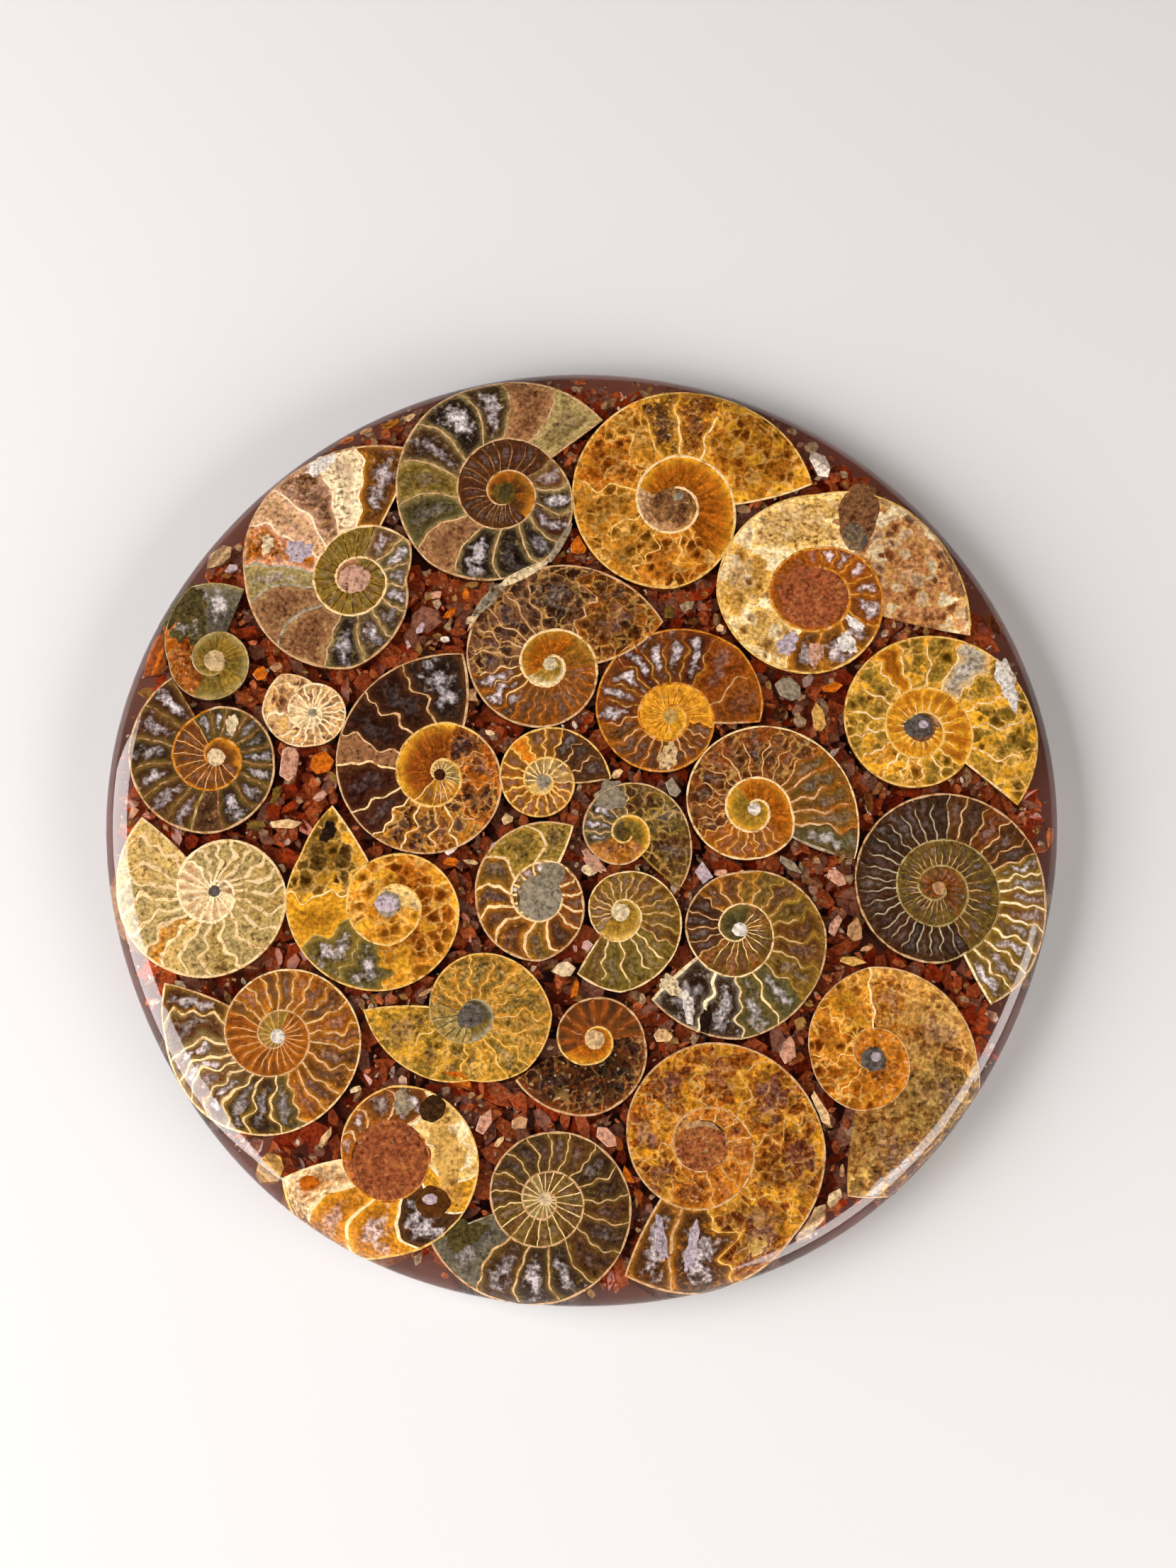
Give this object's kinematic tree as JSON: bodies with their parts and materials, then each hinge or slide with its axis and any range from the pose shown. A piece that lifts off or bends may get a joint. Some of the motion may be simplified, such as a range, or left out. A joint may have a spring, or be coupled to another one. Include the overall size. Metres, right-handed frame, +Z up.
{
  "type": "ammonite fossil plate",
  "caption": "Round flat plate of sliced ammonites and broken shell set flush in dark red-brown resin, polished on top with a rounded rim, flat below.",
  "frame": {"origin": "middle of the flat underside", "axes": "+Z up through the plate's thickness, polished face up; +Y towards the top of the plate as it is viewed, +X to its right"},
  "size_m": [0.1504, 0.1496, 0.009],
  "materials": {
    "amber": "polished calcite in honey brown and dark amber, cream chamber walls",
    "bone": "polished broken shell in cream and tan",
    "cream": "polished calcite in cream, fine curved walls",
    "honey": "polished calcite in pale yellow and cream, mottled",
    "olive": "polished calcite in olive and mustard, fine tan walls",
    "resin": "clear dark red-brown polyester resin, polished above, ground flat below",
    "rose": "polished broken shell in pinkish grey",
    "rust": "polished broken shell in orange and brown",
    "smoky": "polished crystal-filled chambers in smoky brown, tan walls"
  },
  "bodies": {
    "root": {"ammonite_01": "smoky", "ammonite_02": "amber", "ammonite_03": "honey", "ammonite_04": "honey", "ammonite_05": "olive", "ammonite_06": "smoky", "ammonite_07": "cream", "ammonite_08": "cream", "ammonite_09": "smoky", "ammonite_10": "amber", "ammonite_11": "amber", "ammonite_12": "honey", "ammonite_13": "olive", "ammonite_14": "amber", "ammonite_15": "honey", "ammonite_16": "smoky", "ammonite_17": "honey", "ammonite_18": "honey", "ammonite_19": "olive", "ammonite_20": "olive", "ammonite_21": "amber", "ammonite_22": "amber", "ammonite_23": "smoky", "ammonite_24": "olive", "ammonite_25": "amber", "ammonite_26": "honey", "ammonite_27": "amber", "resin_slab": "resin", "shard_01": "rose", "shard_02": "bone", "shard_03": "bone", "shard_04": "rust", "shard_05": "bone", "shard_06": "rose", "shard_07": "bone", "shard_08": "rust", "shard_09": "rose", "shard_10": "bone", "shard_11": "bone", "shard_12": "bone", "shard_13": "rose", "shard_14": "bone", "shard_15": "bone", "shard_16": "rust", "shard_17": "bone", "shard_18": "bone", "shard_19": "bone", "shard_20": "rose", "shard_21": "bone", "shard_22": "rust", "shard_23": "rose", "shard_24": "bone", "shard_25": "bone", "shard_26": "rust", "shard_27": "rust", "shard_28": "bone", "shard_29": "rose", "shard_30": "bone", "shard_31": "rust", "shard_32": "bone"}
  },
  "joints": []
}
